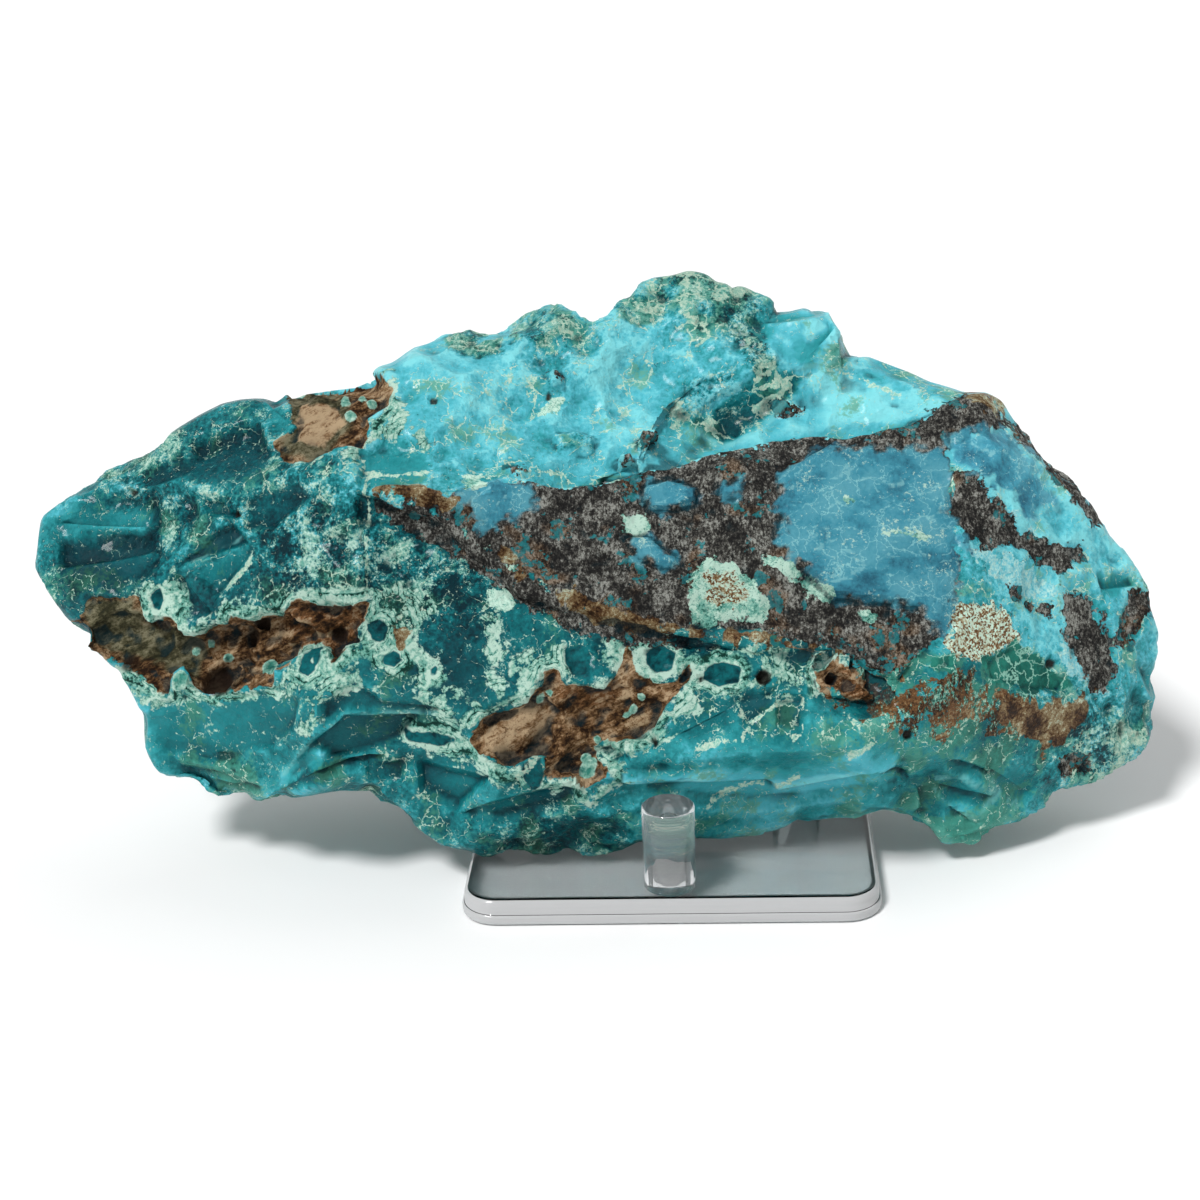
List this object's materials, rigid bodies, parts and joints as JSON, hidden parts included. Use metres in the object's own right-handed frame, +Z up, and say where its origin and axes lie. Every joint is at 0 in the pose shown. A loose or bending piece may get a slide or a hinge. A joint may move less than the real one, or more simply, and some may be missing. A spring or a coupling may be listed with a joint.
{
  "type": "raw chrysocolla specimen on stand",
  "caption": "Rough turquoise-blue chrysocolla stone with dark matrix and clay hollows, leaning on a clear acrylic plate stand with pegs.",
  "frame": {"origin": "middle of the whole piece's length and depth, level with the underside of the stand, which rests on the surface", "axes": "+X to the right along the stone's length, +Y to the back, +Z up; the stone's broad face looks towards -Y and leans back"},
  "size_m": [0.2856, 0.1178, 0.1319],
  "materials": {
    "chrysocolla": "fractured, waxy to glassy turquoise and teal, with black matrix, tan clay and mint rinds",
    "clear_acrylic": "clear, polished"
  },
  "bodies": {
    "root": {"chrysocolla_stone": "chrysocolla", "stand_base": "clear_acrylic", "front_peg": "clear_acrylic", "rear_peg_left": "clear_acrylic", "rear_peg_right": "clear_acrylic"}
  },
  "joints": []
}
